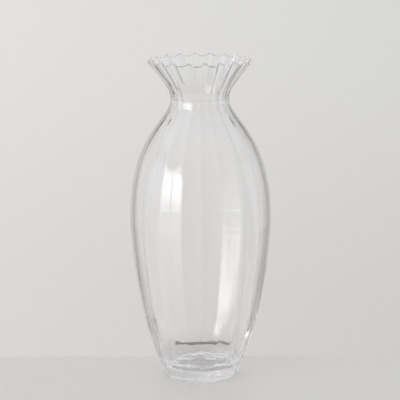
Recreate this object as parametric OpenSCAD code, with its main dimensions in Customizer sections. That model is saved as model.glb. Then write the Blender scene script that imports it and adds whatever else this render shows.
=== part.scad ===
// Clear glass vase with vertical flutes, a narrow neck and a scalloped, flared lip.
// It is one piece of glass, drawn as a wall lofted from the table up over the lip and down inside.
// Millimetres, +Z up, the origin at the middle of the foot on the table, the front towards -Y.

/* [Overall] */
// Height from the table to the tips of the scallops
height = 300; // [285:1:340]

/* [Foot] */
// Outer radius of the flat ring that the vase stands on
foot_r = 32.8; // [29:0.2:38]
// Width of that ring
foot_ring_w = 5.5; // [3:0.5:10]
// Rounding between the ring and the wall
foot_round = 4.3; // [2:0.1:7]
// Lean of the wall outwards above the foot, in degrees
foot_lean = 23; // [14:1:30]
// Rise of the underside inside the ring
push_up = 0.6; // [0.4:0.1:4]

/* [Body] */
// Greatest radius, over the crests of the flutes
belly_r = 66; // [60:0.5:74]
// Height of the greatest radius
belly_z = 151; // [135:1:165]
// How far the wall keeps its lean above the foot
lower_reach = 66; // [40:1:80]
// How far the wall hangs straight below the belly
belly_drop = 12; // [5:1:40]
// How far the wall stays full above the belly, which squares the shoulder
shoulder_reach = 78; // [50:1:85]

/* [Neck] */
// Radius of the neck at its narrowest, over the crests
neck_r = 27.5; // [22:0.5:34]
// Height of the narrowest place
neck_z = 261; // [252:1:268]
// Softness of the curve below the neck
neck_drop = 18; // [10:0.5:26]
// Softness of the curve above the neck
neck_rise = 6.5; // [3:0.5:12]

/* [Lip] */
// Radius of the lip over the crests of the flutes
lip_r = 47.9; // [40:0.1:56]
// Flare of the lip from the upright, in degrees
lip_flare = 40; // [28:1:52]
// Length over which the lip runs straight
lip_reach = 33; // [15:1:38]
// Height of the scallops, which rise in the valleys of the flutes
scallop_depth = 2.3; // [0.5:0.1:5]
// Thickness of the rounded lip
lip_wall = 1.6; // [1.4:0.1:3]

/* [Glass] */
// Wall at the belly
body_wall = 4.2; // [2.6:0.1:6]
// Wall at the neck
neck_wall = 3.8; // [2.4:0.1:5.5]
// Wall just above the floor of the hollow
heel_wall = 9.5; // [5:0.1:13]
// Height at which the wall starts to thin
heel_low = 14; // [8:1:30]
// Height at which it has thinned to that of the belly
heel_high = 40; // [34:1:100]
// Glass under the hollow, measured at the foot ring
floor_wall = 11; // [6:0.2:14]
// Rounding between the floor and the wall of the hollow
heel_round = 14; // [6:0.5:17]

/* [Flutes] */
// Number of flutes
flute_count = 20; // [12:1:22]
// Depth of a flute outside, at the foot
foot_flute = 0.5; // [0:0.1:1.2]
// Depth of a flute outside, at the belly
body_flute = 0.2; // [0:0.1:1.5]
// Depth of a flute outside, at the neck
neck_flute = 0.4; // [0:0.1:1.3]
// Depth of a flute outside, at the lip
lip_flute = 2.1; // [0:0.1:3.5]
// Depth of a flute inside, at the heel
foot_inside = 0.6; // [0:0.1:1.2]
// Depth of a flute inside, at the belly
body_inside = 1; // [0:0.1:1.5]
// Depth of a flute inside, at the neck
neck_inside = 0.6; // [0:0.1:1.3]
// Depth of a flute inside, at the lip
lip_inside = 2.1; // [0:0.1:3.5]
// Angle from the front to the nearest crest on the body, in degrees
first_crest = 1.8; // [0:0.1:9]
// Turn of the flutes from the neck to the lip, in degrees
lip_turn = -5.4; // [-9:0.1:9]

/* [Hidden] */

// Steps of the loft. A flute has one column at its crest, one in its valley and one on each slope.
flute_columns = 4;
columns = flute_count * flute_columns;
// How deep the flute is in each of them: flat panels on the body, narrow grooves at the lip
body_shares = [0, 0.75, 1, 0.75];
lip_shares = [0, 0.2, 1, 0.2];
lower_steps = 10;
inner_lower_steps = 7;
upper_steps = 11;
flare_steps = 7;
foot_steps = 3;
lip_steps = 4;
heel_steps = 3;
// The heel of the hollow takes the place of this many steps of the inner wall.
heel_start = 1;

// Foot: the rounding leaves the ring level and meets the wall at its lean.
foot_turn = 90 - foot_lean;
foot_top_r = foot_r + foot_round * sin(foot_turn);
foot_top_z = foot_round * (1 - cos(foot_turn));
ring_inner_r = foot_r - foot_ring_w;
// The underside is level from the middle out to this share of the ring.
dome_share = 0.5;

// Lip: the outer face ends where the rounding of the lip starts.
lip_half = lip_wall / 2;
lip_edge_r = lip_r - lip_half * (1 - cos(lip_flare));
lip_edge_z = height - scallop_depth - lip_half * (1 + sin(lip_flare));

// The outer wall over the crests: three curves, each with its two ends and its two handles, as radius and height
lower_curve = [
    [foot_top_r, foot_top_z],
    [foot_top_r + lower_reach * sin(foot_lean), foot_top_z + lower_reach * cos(foot_lean)],
    [belly_r, belly_z - belly_drop],
    [belly_r, belly_z]
];
upper_curve = [
    [belly_r, belly_z],
    [belly_r, belly_z + shoulder_reach],
    [neck_r, neck_z - neck_drop],
    [neck_r, neck_z]
];
flare_curve = [
    [neck_r, neck_z],
    [neck_r, neck_z + neck_rise],
    [lip_edge_r - lip_reach * sin(lip_flare), lip_edge_z - lip_reach * cos(lip_flare)],
    [lip_edge_r, lip_edge_z]
];

function mix(a, b, share) = a + (b - a) * share;
function ease(share) = let (s = min(1, max(0, share))) s * s * (3 - 2 * s);
function along(curve, t) =
    pow(1 - t, 3) * curve[0] + 3 * pow(1 - t, 2) * t * curve[1]
    + 3 * (1 - t) * t * t * curve[2] + t * t * t * curve[3];
function heading(curve, t) =
    let (
        d = pow(1 - t, 2) * (curve[1] - curve[0]) + 2 * (1 - t) * t * (curve[2] - curve[1])
            + t * t * (curve[3] - curve[2])
    ) d / norm(d);
function outward(direction) = [direction.y, -direction.x];

// Wall of each curve at t, and the depth of its flutes
function lower_wall(t) =
    mix(heel_wall, body_wall, ease((along(lower_curve, t).y - heel_low) / (heel_high - heel_low)));
function upper_wall(t) = mix(body_wall, neck_wall, ease(t));
function flare_wall(t) = mix(neck_wall, lip_wall, ease(t));
function lower_flute(t, inside) = inside
    ? mix(foot_inside, body_inside, ease(t))
    : mix(foot_flute, body_flute, ease(t));
function upper_flute(t, inside) = inside
    ? mix(body_inside, neck_inside, ease(t))
    : mix(body_flute, neck_flute, ease(t));
function flare_flute(t, inside) = inside
    ? mix(neck_inside, lip_inside, pow(t, 3))
    : mix(neck_flute, lip_flute, pow(t, 3));

// A place on the glass: profile point (radius, height), depth of the flute there, turn of the flutes, and how
// far along the flare it is
function placed(point, depth, turn, column, flared) =
    let (
        k = column % flute_columns,
        r = point.x - depth * mix(body_shares[k], lip_shares[k], ease(flared)),
        a = first_crest + turn + column * 360 / columns
    ) [r * sin(a), -r * cos(a), point.y + scallop_depth * lip_shares[k] * pow(flared, 3)];

// Points of one ring of the loft, one for each column
function ring(point, depth, turn, flared) =
    [for (i = [0 : columns - 1]) placed(point, depth, turn, i, flared)];
function foot_ring(share) =
    let (
        a = foot_turn * share,
        point = [foot_r + foot_round * sin(a), foot_round * (1 - cos(a))]
    ) ring(point, foot_flute * ease(share), 0, 0);
function lower_ring(t, inside) =
    let (point = along(lower_curve, t) - inside * lower_wall(t) * outward(heading(lower_curve, t)))
        ring(point, lower_flute(t, inside > 0), 0, 0);
function upper_ring(t, inside) =
    let (point = along(upper_curve, t) - inside * upper_wall(t) * outward(heading(upper_curve, t)))
        ring(point, upper_flute(t, inside > 0), 0, 0);
function flare_ring(t, inside) =
    let (point = along(flare_curve, t) - inside * flare_wall(t) * outward(heading(flare_curve, t)))
        ring(point, flare_flute(t, inside > 0), lip_turn * t, t);
function lip_ring(share) =
    let (
        up = heading(flare_curve, 1),
        out = outward(up),
        a = 180 * share,
        point = flare_curve[3] - lip_half * out + lip_half * (cos(a) * out + sin(a) * up)
    ) ring(point, mix(lip_flute, lip_inside, share), lip_turn, 1);

// Heel of the hollow: a curve from the floor to the wall, whose middle handle is the corner they would make
heel_t = heel_start / inner_lower_steps;
heel_top = along(lower_curve, heel_t) - lower_wall(heel_t) * outward(heading(lower_curve, heel_t));
heel_lean = heading(lower_curve, heel_t);
heel_corner = heel_top - heel_lean * (heel_top.y - floor_wall) / heel_lean.y;
floor_edge = [heel_corner.x - heel_round, floor_wall];
function heel_ring(share) =
    let (
        point = pow(1 - share, 2) * floor_edge + 2 * (1 - share) * share * heel_corner
            + share * share * heel_top
    ) ring(point, lower_flute(heel_t, true) * share, 0, 0);

rings = concat(
    [ring([ring_inner_r * dome_share, push_up], 0, 0, 0), ring([ring_inner_r, 0], 0, 0, 0)],
    [for (k = [0 : foot_steps - 1]) foot_ring(k / foot_steps)],
    [for (k = [0 : lower_steps - 1]) lower_ring(k / lower_steps, 0)],
    [for (k = [0 : upper_steps - 1]) upper_ring(k / upper_steps, 0)],
    [for (k = [0 : flare_steps - 1]) flare_ring(k / flare_steps, 0)],
    [for (k = [0 : lip_steps]) lip_ring(k / lip_steps)],
    [for (k = [flare_steps - 1 : -1 : 0]) flare_ring(k / flare_steps, 1)],
    [for (k = [upper_steps - 1 : -1 : 0]) upper_ring(k / upper_steps, 1)],
    [for (k = [inner_lower_steps - 1 : -1 : heel_start + 1]) lower_ring(k / inner_lower_steps, 1)],
    [for (k = [heel_steps : -1 : 0]) heel_ring(k / heel_steps)]
);
ring_count = len(rings);
// The underside and the floor each close on one point.
under_point = ring_count * columns;
floor_point = under_point + 1;

// Two triangles between each pair of columns and rings
function next_column(i) = (i + 1) % columns;
function band(k) = [
    for (i = [0 : columns - 1])
        let (
            a = k * columns + i,
            b = k * columns + next_column(i),
            c = a + columns,
            d = b + columns
        ) each [[a, c, b], [b, c, d]]
];

module glass_vase() {
    color("lightcyan", 0.5)
        polyhedron(
            points = concat([for (r = rings) each r], [[0, 0, push_up], [0, 0, floor_wall]]),
            faces = concat(
                [for (i = [0 : columns - 1]) [under_point, i, next_column(i)]],
                [for (k = [0 : ring_count - 2]) each band(k)],
                [for (i = [0 : columns - 1])
                    [floor_point, (ring_count - 1) * columns + next_column(i), (ring_count - 1) * columns + i]]
            ),
            convexity = 6
        );
}

glass_vase();
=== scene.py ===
# Clear fluted glass vase with a narrow neck and a scalloped, flared lip, on a pale table.
# Metres, +Z up, the origin at the middle of the foot, the front towards -Y.
import math

import bmesh
import bpy
from mathutils import Euler, Matrix, Vector


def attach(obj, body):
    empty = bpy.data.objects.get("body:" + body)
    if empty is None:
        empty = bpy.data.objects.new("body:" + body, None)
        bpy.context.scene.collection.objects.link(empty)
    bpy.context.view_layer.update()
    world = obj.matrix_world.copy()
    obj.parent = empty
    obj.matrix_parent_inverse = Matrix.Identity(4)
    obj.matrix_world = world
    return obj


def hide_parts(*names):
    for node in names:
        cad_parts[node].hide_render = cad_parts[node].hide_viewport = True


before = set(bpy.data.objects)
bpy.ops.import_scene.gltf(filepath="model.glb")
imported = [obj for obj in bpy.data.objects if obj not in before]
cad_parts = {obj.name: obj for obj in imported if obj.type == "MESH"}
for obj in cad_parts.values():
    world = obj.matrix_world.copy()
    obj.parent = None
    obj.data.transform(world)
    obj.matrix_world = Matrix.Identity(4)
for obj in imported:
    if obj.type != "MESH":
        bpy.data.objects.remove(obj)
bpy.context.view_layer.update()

scene = bpy.context.scene
bpy.ops.object.select_all(action='DESELECT')

# What a user would change on the vase
vase = {
    "height": 0.2993,           # to the tips of the scallops, which the smoothing lifts by 0.6 mm
    "footRadius": 0.0328,       # outside of the flat ring on the table
    "footRingWidth": 0.0055,
    "footRounding": 0.0043,
    "footLean": 23,             # degrees outwards
    "pushUp": 0.0006,           # rise of the middle of the underside
    "domeShare": 0.5,           # how far out of the middle the underside is level
    "bellyRadius": 0.066,
    "bellyHeight": 0.151,
    "lowerReach": 0.066,        # how far the wall keeps its lean above the foot
    "bellyDrop": 0.012,         # and hangs straight below the belly
    "shoulderReach": 0.078,     # and stays full above it
    "neckRadius": 0.0275,
    "neckHeight": 0.261,
    "neckDrop": 0.018,          # softness of the curve below the neck
    "neckRise": 0.0065,         # and above it
    "lipRadius": 0.0479,        # over the crests, which end lower than the tips
    "lipFlare": 40,             # degrees from the upright
    "lipReach": 0.033,          # how far the lip runs straight
    "scallopDepth": 0.0023,
    "lipWall": 0.0016,
    "bodyWall": 0.0042,
    "neckWall": 0.0038,
    "heelWall": 0.0095,
    "heelFrom": 0.014,          # heights between which the wall thins to that of the belly
    "heelTo": 0.040,
    "floorWall": 0.011,
    "heelRound": 0.014,
    "floorShare": 0.5,          # how far out of the middle the innermost ring of the floor lies
    "flutes": 20,
    "footFlute": 0.0005,        # depth of the flutes outside
    "bodyFlute": 0.0002,
    "neckFlute": 0.0004,
    "lipFlute": 0.0021,
    "footInside": 0.0006,       # and inside
    "bodyInside": 0.0010,
    "neckInside": 0.0006,
    "lipInside": 0.0021,
    "firstCrest": 1.8,          # degrees from the front
    "lipTurn": -5.4,            # degrees between the neck and the lip
    "outsideCrease": 0.15,      # how crisp the crests are
    "insideCrease": 0.05,
    "smoothing": 2,             # levels of subdivision
}
# Steps of the cage, from the foot up over the lip and down inside
steps = {
    "underside": 3, "foot": 3, "lower": 9, "upper": 11, "flare": 9, "lip": 5,
    "innerFlare": 8, "innerUpper": 10, "innerLower": 7, "heel": 4,
}
columnsPerFlute = 4
columns = vase["flutes"] * columnsPerFlute
# How deep the flute is on its crest, slope and valley: flat panels on the body, grooves at the lip
bodyDepths = (0, 0.75, 1)
lipDepths = (0, 0.2, 1)
fitRounds = 8                   # how often the cage is corrected towards the places it should give


def polar(degrees):
    return Vector((math.sin(math.radians(degrees)), math.cos(math.radians(degrees))))


def mix(a, b, share):
    return a + (b - a) * share


def ease(share):
    s = min(1, max(0, share))
    return s * s * (3 - 2 * s)


def along(curve, t):
    u = 1 - t
    a, b, c, d = curve
    return a * u ** 3 + b * 3 * u * u * t + c * 3 * u * t * t + d * t ** 3


def heading(curve, t):
    u = 1 - t
    a, b, c, d = curve
    return ((b - a) * u * u + (c - b) * 2 * u * t + (d - c) * t * t).normalized()


def outward(direction):
    return Vector((direction.y, -direction.x))


# The rounding between the foot ring and the wall, at a share of its turn
def footPoint(v, share):
    a = math.radians((90 - v["footLean"]) * share)
    rounding = v["footRounding"]
    return Vector((v["footRadius"] + rounding * math.sin(a), rounding * (1 - math.cos(a))))


# The outline over the crests is three curves in radius and height, as in the CAD part
def outlineCurves(v):
    footTop = footPoint(v, 1)
    half = v["lipWall"] / 2
    flare = polar(v["lipFlare"])
    lipHeight = v["height"] - v["scallopDepth"]
    lipEdge = Vector((v["lipRadius"] - half * (1 - flare.y), lipHeight - half * (1 + flare.x)))
    belly = Vector((v["bellyRadius"], v["bellyHeight"]))
    neck = Vector((v["neckRadius"], v["neckHeight"]))
    lower = [footTop, footTop + polar(v["footLean"]) * v["lowerReach"],
             belly - Vector((0, v["bellyDrop"])), belly]
    upper = [belly, belly + Vector((0, v["shoulderReach"])),
             neck - Vector((0, v["neckDrop"])), neck]
    flareUp = [neck, neck + Vector((0, v["neckRise"])),
               lipEdge - flare * v["lipReach"], lipEdge]
    return lower, upper, flareUp


# One place for each ring of the cage in one column of a flute (0 crest, 1 slope, 2 valley), from
# the underside over the lip to the floor of the hollow: radius, height and turn
def ringPlaces(v, column):
    lower, upper, flareUp = outlineCurves(v)
    places = []
    body, lip = bodyDepths[column], lipDepths[column]

    def add(point, flute=0.0, rise=0.0, turn=0.0):
        places.append((point.x - flute, point.y + rise, turn))

    def lowerWall(t):
        z = along(lower, t).y
        thinned = ease((z - v["heelFrom"]) / (v["heelTo"] - v["heelFrom"]))
        return mix(v["heelWall"], v["bodyWall"], thinned)

    def addFlare(t, inside):
        wall = mix(v["neckWall"], v["lipWall"], ease(t)) if inside else 0
        neckDepth, lipDepth = ("neckInside", "lipInside") if inside else ("neckFlute", "lipFlute")
        add(along(flareUp, t) - outward(heading(flareUp, t)) * wall,
            mix(v[neckDepth], v[lipDepth], t ** 3) * mix(body, lip, ease(t)),
            v["scallopDepth"] * lip * t ** 3, v["lipTurn"] * t)

    ringInner = v["footRadius"] - v["footRingWidth"]
    add(Vector((ringInner * v["domeShare"], v["pushUp"])))
    add(Vector((ringInner, 0)))
    add(Vector((v["footRadius"] - v["footRingWidth"] / 2, 0)))
    for k in range(steps["foot"]):
        s = k / steps["foot"]
        add(footPoint(v, s), v["footFlute"] * ease(s) * body)
    for k in range(steps["lower"]):
        t = k / steps["lower"]
        add(along(lower, t), mix(v["footFlute"], v["bodyFlute"], ease(t)) * body)
    for k in range(steps["upper"]):
        t = k / steps["upper"]
        add(along(upper, t), mix(v["bodyFlute"], v["neckFlute"], ease(t)) * body)
    for k in range(steps["flare"]):
        addFlare(k / steps["flare"], False)
    up = heading(flareUp, 1)
    out = outward(up)
    half = v["lipWall"] / 2
    for k in range(steps["lip"] + 1):
        a = math.pi * k / steps["lip"]
        add(flareUp[3] - out * half + (out * math.cos(a) + up * math.sin(a)) * half,
            mix(v["lipFlute"], v["lipInside"], k / steps["lip"]) * lip,
            v["scallopDepth"] * lip, v["lipTurn"])
    for k in range(steps["innerFlare"] - 1, -1, -1):
        addFlare(k / steps["innerFlare"], True)
    for k in range(steps["innerUpper"] - 1, -1, -1):
        t = k / steps["innerUpper"]
        wall = mix(v["bodyWall"], v["neckWall"], ease(t))
        add(along(upper, t) - outward(heading(upper, t)) * wall,
            mix(v["bodyInside"], v["neckInside"], ease(t)) * body)
    for k in range(steps["innerLower"] - 1, 1, -1):
        t = k / steps["innerLower"]
        add(along(lower, t) - outward(heading(lower, t)) * lowerWall(t),
            mix(v["footInside"], v["bodyInside"], ease(t)) * body)
    # The heel of the hollow takes the place of the last step: a curve from the wall to the floor
    t = 1 / steps["innerLower"]
    lean = heading(lower, t)
    top = along(lower, t) - outward(lean) * lowerWall(t)
    corner = top - lean * ((top.y - v["floorWall"]) / lean.y)
    floorEdge = Vector((corner.x - v["heelRound"], v["floorWall"]))
    for k in range(steps["heel"], -1, -1):
        s = k / steps["heel"]
        add(floorEdge * (1 - s) ** 2 + corner * 2 * (1 - s) * s + top * s * s,
            v["footInside"] * s * body)
    add(Vector((floorEdge.x * v["floorShare"], v["floorWall"])))
    return places


# Moves cage points off a profile so that the smoothed surface runs through it. The surface takes
# four parts of a cage point and one of each neighbour.
def fittedAlong(places):
    goal = [Vector(p[:2]) for p in places]
    cage = list(goal)
    for _ in range(fitRounds):
        cage = [cage[0]] + [
            cage[i] + goal[i] - (cage[i - 1] + cage[i] * 4 + cage[i + 1]) / 6
            for i in range(1, len(cage) - 1)
        ] + [cage[-1]]
    return [(c.x, max(c.y, 0), p[2]) for c, p in zip(cage, places)]


# The same across the flutes, where the crests are kept
def fittedAcross(crest, slope, valley):
    narrow = math.cos(math.radians(360 / columns))
    slopes, valleys = [], []
    for c, s, v in zip(crest, slope, valley):
        slopePoint, valleyPoint = Vector(s[:2]), Vector(v[:2])
        for _ in range(fitRounds):
            sides = Vector((c[0] * narrow, c[1])) + Vector((valleyPoint.x * narrow, valleyPoint.y))
            slopePoint += Vector(s[:2]) - (slopePoint * 4 + sides) / 6
            sides = Vector((slopePoint.x * narrow, slopePoint.y)) * 2
            valleyPoint += Vector(v[:2]) - (valleyPoint * 4 + sides) / 6
        slopes.append((slopePoint.x, max(slopePoint.y, 0), s[2]))
        valleys.append((valleyPoint.x, max(valleyPoint.y, 0), v[2]))
    return crest, slopes, valleys


# Selects the given points of the mesh being edited, and nothing else
def pick(mesh, indices):
    bpy.ops.mesh.select_all(action='DESELECT')
    bm = bmesh.from_edit_mesh(mesh)
    bm.verts.ensure_lookup_table()
    for i in indices:
        bm.verts[i].select_set(True)
    bm.select_flush_mode()
    bmesh.update_edit_mesh(mesh)


def picked(mesh):
    bm = bmesh.from_edit_mesh(mesh)
    return [v.index for v in bm.verts if v.select]


# Extrudes the vase ring by ring from the underside, then smooths it
def buildVase(v):
    fitted = [fittedAlong(ringPlaces(v, column)) for column in range(len(bodyDepths))]
    crest, slope, valley = fittedAcross(*fitted)
    profiles = [crest, slope, valley, slope]
    radius, height, _ = crest[0]
    bpy.ops.mesh.primitive_circle_add(
        vertices=columns, radius=radius, fill_type='TRIFAN', location=(0, 0, height),
        rotation=(0, 0, math.radians(180 + v["firstCrest"])))
    piece = bpy.context.object
    piece.name = "fluted_vase"
    bpy.ops.object.transform_apply(location=True, rotation=True, scale=True)
    bpy.ops.object.mode_set(mode='EDIT')
    bpy.ops.mesh.select_mode(type='VERT')
    mesh = piece.data

    def columnOf(co, turn):
        angle = math.degrees(math.atan2(co.x, -co.y)) - v["firstCrest"] - turn
        return round(angle / (360 / columns)) % columns

    # The circle's own ring, without its middle
    bm = bmesh.from_edit_mesh(mesh)
    ring = [vert.index for vert in bm.verts if vert.co.xy.length > radius / 2]
    crests = []
    turned = 0
    for k in range(1, len(crest)):
        pick(mesh, ring)
        bpy.ops.mesh.extrude_region_move()
        ring = picked(mesh)
        bm = bmesh.from_edit_mesh(mesh)
        bm.verts.ensure_lookup_table()
        groups = {}
        for i in ring:
            kind = columnOf(bm.verts[i].co, turned) % columnsPerFlute
            groups.setdefault(kind, []).append(i)
        for kind, members in groups.items():
            old, new = profiles[kind][k - 1], profiles[kind][k]
            wider = new[0] / old[0]
            pick(mesh, members)
            bpy.ops.transform.translate(value=(0, 0, new[1] - old[1]))
            bpy.ops.transform.resize(value=(wider, wider, 1), center_override=(0, 0, 0))
        crests.append(groups[0])
        turn = crest[k][2]
        if not math.isclose(turn, turned):
            pick(mesh, ring)
            bpy.ops.transform.rotate(value=-math.radians(turn - turned), orient_axis='Z',
                                     center_override=(0, 0, 0))
            turned = turn
    # The floor of the hollow closes on its middle
    pick(mesh, ring)
    bpy.ops.mesh.extrude_region_move()
    bpy.ops.mesh.merge(type='CENTER')

    # The crests are creased from the foot to the lip outside, and from there to the floor inside
    outsideSteps = [steps[name] for name in ("underside", "foot", "lower", "upper", "flare")]
    insideFrom = sum(outsideSteps) + steps["lip"] // 2
    floorFrom = len(crests) - 2
    for first, last, crease in ((steps["underside"], insideFrom, v["outsideCrease"]),
                                (insideFrom, floorFrom, v["insideCrease"])):
        pick(mesh, [i for ringCrests in crests[first:last] for i in ringCrests])
        bpy.ops.mesh.select_mode(type='EDGE')
        bpy.ops.transform.edge_crease(value=crease)
        bpy.ops.mesh.select_mode(type='VERT')
    bpy.ops.mesh.select_all(action='SELECT')
    bpy.ops.mesh.normals_make_consistent(inside=False)
    bpy.ops.object.mode_set(mode='OBJECT')
    bpy.ops.object.modifier_add(type='SUBSURF')
    piece.modifiers[-1].levels = piece.modifiers[-1].render_levels = v["smoothing"]
    bpy.ops.object.modifier_apply(modifier=piece.modifiers[-1].name)
    bpy.ops.object.shade_smooth()
    # Marks the outer face of the glass, where the material paints shade along the outline
    outside = piece.data.attributes.new("outside", 'FLOAT', 'POINT')
    for vert in piece.data.vertices:
        outside.data[vert.index].value = 1 if vert.normal.xy.dot(vert.co.xy) > 0 else 0
    bpy.ops.object.select_all(action='DESELECT')
    return piece


vasePiece = buildVase(vase)
print("vase:", len(vasePiece.data.polygons), "faces")


# Three helpers that add nodes to one tree: ramp maps a range to another, count does a sum, and
# blend mixes two colours. A value is a number, a colour or a socket.
def nodeHelpers(tree):
    n, link = tree.nodes, tree.links.new

    def fill(socket, value):
        if isinstance(value, bpy.types.NodeSocket):
            link(value, socket)
        else:
            socket.default_value = (*value, 1) if isinstance(value, tuple) else value

    def ramp(value, low, high, outLow=0.0, outHigh=1.0, how='SMOOTHSTEP'):
        node = n.new('ShaderNodeMapRange')
        node.interpolation_type = how
        names = ("Value", "From Min", "From Max", "To Min", "To Max")
        for name, given in zip(names, (value, low, high, outLow, outHigh)):
            fill(node.inputs[name], given)
        return node.outputs["Result"]

    def count(how, *values):
        node = n.new('ShaderNodeMath')
        node.operation = how
        for socket, given in zip(node.inputs, values):
            fill(socket, given)
        return node.outputs[0]

    # The colours of this node are its inputs 6 and 7 and its output 2
    def blend(factor, a, b, how='MIX'):
        node = n.new('ShaderNodeMix')
        node.data_type = 'RGBA'
        node.blend_type = how
        for socket, given in zip((node.inputs["Factor"], *node.inputs[6:8]), (factor, a, b)):
            fill(socket, given)
        return node.outputs[2]

    return ramp, count, blend


# What a user would change on the glass
glass = {
    "tint": (0.998, 0.998, 1),
    "ior": 1.5,
    "baseTint": (0.85, 0.845, 0.86),      # of the thick base
    "baseTintSpan": (0.008, 0.030),       # heights between which it fades
    "edgeShade": (0.36, 0.355, 0.33),      # painted shade on the outer face where it is seen nearly edge-on
    "edgeSpan": (0.52, 0.67),             # where it starts and is whole: 0 straight on, 1 edge-on
    "edgeLeft": 0.45,                     # how much of it is left at the very edge
    "edgeLow": 0.35,                      # and near the foot
    "edgeHeight": 0.095,                  # from where up it is whole
    "edgeLowShare": 1 / 3,                # share of that height where it starts to grow
    "rippleScale": 38,
    "rippleHeight": 0.00006,
    "rippleStretch": (1, 1, 0.3),
    "rippleDetail": 1.5,
    "rippleRoughness": 0.4,
    "baseRippleScale": 75,                # the base is wavier
    "baseRippleHeight": 0.0009,
    "baseHeight": 0.045,                  # up to this height
    "baseWholeShare": 1 / 2,              # and fully so below this share of it
    "smudge": 0.03,                       # roughness of the smudges
    "smudgeScale": 22,
    "smudgeDetail": 5,
    "smudgeSpan": (0.5, 0.8),             # of the noise, where they start and are whole
}


# A node group with named inputs, one named output, and a noise in it
def noiseGroup(name, inputs, output, detail):
    group = bpy.data.node_groups.new(name, 'ShaderNodeTree')
    addSocket = group.interface.new_socket
    addSocket(name="Vector", in_out='INPUT', socket_type='NodeSocketVector')
    for inputName, value in inputs.items():
        socket = addSocket(name=inputName, in_out='INPUT', socket_type='NodeSocketFloat')
        socket.default_value = value
    addSocket(name=output, in_out='OUTPUT', socket_type='NodeSocketFloat')
    noise = group.nodes.new('ShaderNodeTexNoise')
    noise.inputs["Detail"].default_value = detail
    start, end = group.nodes.new('NodeGroupInput'), group.nodes.new('NodeGroupOutput')
    group.links.new(start.outputs["Scale"], noise.inputs["Scale"])
    return group, start, noise, end


def makeRippleGroup(g):
    inputs = {"Scale": g["rippleScale"]}
    group, start, wave, end = noiseGroup("handWorkedRipple", inputs, "Height", g["rippleDetail"])
    wave.inputs["Roughness"].default_value = g["rippleRoughness"]
    link = group.links.new
    stretch = group.nodes.new('ShaderNodeVectorMath')
    stretch.operation = 'MULTIPLY'
    stretch.inputs[1].default_value = g["rippleStretch"]
    link(start.outputs["Vector"], stretch.inputs[0])
    link(stretch.outputs[0], wave.inputs["Vector"])
    link(wave.outputs["Fac"], end.inputs["Height"])
    return group


def makeSmudgeGroup(g):
    inputs = {"Scale": g["smudgeScale"], "Amount": g["smudge"]}
    group, start, cloud, end = noiseGroup("fingerSmudges", inputs, "Roughness", g["smudgeDetail"])
    ramp, _, _ = nodeHelpers(group)
    link = group.links.new
    link(start.outputs["Vector"], cloud.inputs["Vector"])
    rough = ramp(cloud.outputs["Fac"], *g["smudgeSpan"], 0.0, start.outputs["Amount"], how='LINEAR')
    link(rough, end.inputs["Roughness"])
    return group


rippleGroup = makeRippleGroup(glass)
smudgeGroup = makeSmudgeGroup(glass)


def makeGlass(g):
    material = bpy.data.materials.new("clearMouldedGlass")
    material.use_nodes = True
    n, link = material.node_tree.nodes, material.node_tree.links.new
    ramp, count, blend = nodeHelpers(material.node_tree)
    shader = n["Principled BSDF"]
    place = n.new('ShaderNodeTexCoord').outputs["Object"]
    split = n.new('ShaderNodeSeparateXYZ')
    link(place, split.inputs[0])
    height = split.outputs["Z"]

    # The tint of the base, and over it a painted shade on the outer face near the outline
    baseLow, baseHigh = g["baseTintSpan"]
    plain = blend(ramp(height, baseHigh, baseLow, how='LINEAR'), g["tint"], g["baseTint"])
    facing = n.new('ShaderNodeLayerWeight').outputs["Facing"]
    outside = n.new('ShaderNodeAttribute')
    outside.attribute_name = "outside"
    edge = count('MULTIPLY', ramp(facing, *g["edgeSpan"]),
                 ramp(facing, g["edgeSpan"][1], 1, 1, g["edgeLeft"], how='LINEAR'))
    risingFrom = g["edgeHeight"] * g["edgeLowShare"]
    rising = ramp(height, risingFrom, g["edgeHeight"], g["edgeLow"], how='LINEAR')
    edge = count('MULTIPLY', count('MULTIPLY', edge, rising), outside.outputs["Fac"])
    link(blend(edge, plain, g["edgeShade"]), shader.inputs["Base Color"])
    shader.inputs["Metallic"].default_value = 0
    shader.inputs["IOR"].default_value = g["ior"]
    shader.inputs["Transmission Weight"].default_value = 1

    def rippled(scale, deep):
        ripple = n.new('ShaderNodeGroup')
        ripple.node_tree = rippleGroup
        ripple.inputs["Scale"].default_value = scale
        link(place, ripple.inputs["Vector"])
        return count('MULTIPLY', ripple.outputs["Height"], deep)

    body = rippled(g["rippleScale"], g["rippleHeight"])
    base = rippled(g["baseRippleScale"], g["baseRippleHeight"])
    low = ramp(height, g["baseHeight"], g["baseHeight"] * g["baseWholeShare"], how='LINEAR')
    bump = n.new('ShaderNodeBump')
    bump.inputs["Strength"].default_value = 1
    bump.inputs["Distance"].default_value = 1
    link(count('MULTIPLY_ADD', low, base, body), bump.inputs["Height"])
    link(bump.outputs["Normal"], shader.inputs["Normal"])
    smudge = n.new('ShaderNodeGroup')
    smudge.node_tree = smudgeGroup
    smudge.inputs["Scale"].default_value = g["smudgeScale"]
    smudge.inputs["Amount"].default_value = g["smudge"]
    link(place, smudge.inputs["Vector"])
    link(smudge.outputs["Roughness"], shader.inputs["Roughness"])
    return material


vasePiece.data.materials.clear()
vasePiece.data.materials.append(makeGlass(glass))
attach(vasePiece, "root")
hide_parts("glass_vase")
print("glass: done")

# What a user would change on the table
table = {
    "width": 3.2,
    "front": -1.6,
    "back": 0.053,
    "thickness": 0.03,
    "gap": 0.0003,              # under the foot, so that the two faces don't meet
    "rounding": 0.0015,
    "roundingSteps": 2,
    "colour": (0.755, 0.722, 0.662),
    "roughness": 0.28,
}


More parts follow.
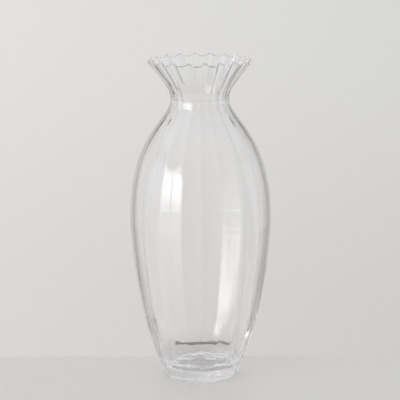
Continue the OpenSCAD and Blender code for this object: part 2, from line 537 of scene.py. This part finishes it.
def buildTable(t):
    middle = (t["front"] + t["back"]) / 2
    bpy.ops.mesh.primitive_cube_add(size=1, location=(0, middle, -t["gap"] - t["thickness"] / 2),
                                    scale=(t["width"], t["back"] - t["front"], t["thickness"]))
    piece = bpy.context.object
    piece.name = "table_top"
    bpy.ops.object.transform_apply(location=True, rotation=True, scale=True)
    bpy.ops.object.modifier_add(type='BEVEL')
    piece.modifiers[-1].width = t["rounding"]
    piece.modifiers[-1].segments = t["roundingSteps"]
    bpy.ops.object.modifier_apply(modifier=piece.modifiers[-1].name)
    material = bpy.data.materials.new("paleTable")
    material.use_nodes = True
    shader = material.node_tree.nodes["Principled BSDF"]
    shader.inputs["Base Color"].default_value = (*t["colour"], 1)
    shader.inputs["Roughness"].default_value = t["roughness"]
    piece.data.materials.append(material)
    bpy.ops.object.select_all(action='DESELECT')


buildTable(table)
print("table: done")

# What a user would change in the room. A span says where a change starts and ends, on one axis of
# the direction: -1 to 1 from left to right, from the camera's side to the wall, or from below to
# above.
room = {
    "wallLeft": (0.815, 0.801, 0.797),
    "wallRight": (0.638, 0.640, 0.630),
    "wallSpan": (-0.3, 0.3),             # left to right
    "wallLow": (0.905, 0.885, 0.875),    # how much darker the wall is at the height of the table
    "wallLowSpan": (-0.07, -0.33),
    "wallEnd": (0.90, 0.885, 0.87),      # and where it ends to the left
    "wallEndSpan": (-0.18, -0.42),
    "front": (0.61, 0.62, 0.645),        # the room on the camera's side
    "frontRight": (0.85, 0.86, 0.88),
    "frontSpan": (0.3, 0.9),             # left to right
    "frontToWall": (0.3, 0.7),
    "ceiling": (0.77, 0.80, 0.84),
    "ceilingSpan": (0.35, 0.8),
    "gloom": (0.22, 0.20, 0.185),        # a dark band under the back edge of the table
    "gloomTop": (-0.48, -0.50),
    "gloomEnd": (-0.62, -0.58),
}
# And on the window. Azimuths are degrees from the camera's side, and heights are degrees above the
# horizon.
window = {
    "light": (4.8, 4.85, 4.9),
    "middle": -50,              # to the left
    "width": 38,
    "soft": 12,                 # over how much its sides and its bright part fade
    "high": 22,                 # where it ends at the top
    "topSoft": 8,
    "slope": 0.12,              # how much its top rises to the left, in degrees for a degree
    "low": 2,                   # where the bright part ends
    "foot": 0.50,               # how bright the part below that is
    "footSpan": (-12, -3),      # where that part starts and is whole
    "bar": 0.8,                 # width of the bar down its middle
    "barSoft": 0.5,
    "curtain": 0.3,             # how bright the curtain to the left of it is
    "curtainWidth": 28,
}


# The colours of the room by direction
def roomColours(helpers, direction, r):
    ramp, count, blend = helpers
    x, y, z = direction
    wall = blend(ramp(x, *r["wallSpan"], how='LINEAR'), r["wallLeft"], r["wallRight"])
    wall = blend(ramp(z, *r["wallLowSpan"]), wall, r["wallLow"], 'MULTIPLY')
    wall = blend(ramp(x, *r["wallEndSpan"]), wall, r["wallEnd"], 'MULTIPLY')
    front = blend(ramp(x, *r["frontSpan"]), r["front"], r["frontRight"])
    around = blend(ramp(y, *r["frontToWall"]), front, wall)
    raised = blend(ramp(z, *r["ceilingSpan"]), around, r["ceiling"])
    band = count('MULTIPLY', ramp(z, *r["gloomTop"]), ramp(z, *r["gloomEnd"]))
    return blend(band, raised, r["gloom"])


# How much of the window's light comes from each direction
def windowShare(helpers, direction, w):
    ramp, count, _ = helpers
    x, y, z = direction
    azimuth = count('MULTIPLY', count('ARCTAN2', x, count('MULTIPLY', y, -1)), 180 / math.pi)
    elevation = count('MULTIPLY', count('ARCSINE', z), 180 / math.pi)
    offset = count('SUBTRACT', azimuth, w["middle"])
    side = count('ABSOLUTE', offset)
    half, halfSoft, halfBar = w["width"] / 2, w["soft"] / 2, w["bar"] / 2
    lit = count('MULTIPLY', ramp(side, half + halfSoft, half - halfSoft),
                ramp(side, halfBar, halfBar + w["barSoft"]))
    curtain = count('MULTIPLY', ramp(offset, -half, -half - halfSoft, 0.0, w["curtain"]),
                    ramp(offset, -half - w["curtainWidth"], -half, how='LINEAR'))
    lit = count('MAXIMUM', lit, curtain)
    sloped = count('ADD', elevation, count('MULTIPLY', offset, w["slope"]))
    halfTop = w["topSoft"] / 2
    lit = count('MULTIPLY', lit, ramp(sloped, w["high"] + halfTop, w["high"] - halfTop))
    bright = ramp(elevation, w["low"] - halfSoft, w["low"] + halfSoft, w["foot"])
    lit = count('MULTIPLY', lit, bright)
    return count('MULTIPLY', lit, ramp(elevation, *w["footSpan"]))


def buildRoom(r, w):
    world = bpy.data.worlds.new("paleRoom")
    scene.world = world
    world.use_nodes = True
    n, link = world.node_tree.nodes, world.node_tree.links.new
    helpers = nodeHelpers(world.node_tree)
    background = n["Background"]
    split = n.new('ShaderNodeSeparateXYZ')
    link(n.new('ShaderNodeTexCoord').outputs["Generated"], split.inputs[0])
    direction = tuple(split.outputs)
    colours = roomColours(helpers, direction, r)
    lit = windowShare(helpers, direction, w)
    _, _, blend = helpers
    link(blend(lit, colours, w["light"]), background.inputs["Color"])
    background.inputs["Strength"].default_value = 1


buildRoom(room, window)
print("room and window: done")

# The camera of the photograph: place in metres, angles in degrees, lens and sensor in millimetres
view = {
    "place": (-0.0004, -1.3745, 0.4466),
    "pitch": 11.487,            # downwards
    "roll": -0.336,
    "lens": 135.44,
    "sensor": 36,
    "farthest": 50,             # how far it sees, in metres
}
bpy.ops.object.camera_add(location=view["place"])
camera = bpy.context.object
camera.data.lens = view["lens"]
camera.data.sensor_width = view["sensor"]
camera.data.clip_end = view["farthest"]
tilt = Euler((math.radians(90 - view["pitch"]), 0, 0)).to_matrix()
camera.rotation_euler = (tilt @ Matrix.Rotation(math.radians(view["roll"]), 3, 'Z')).to_euler()
scene.camera = camera

# Light reaches the table through the glass, so no bounce is cut short and no reflection is blurred
bounces = 64
scene.cycles.blur_glossy = 0
scene.cycles.max_bounces = bounces
scene.cycles.glossy_bounces = bounces
scene.cycles.transmission_bounces = bounces
scene.view_settings.view_transform = 'Standard'
print("camera: done")
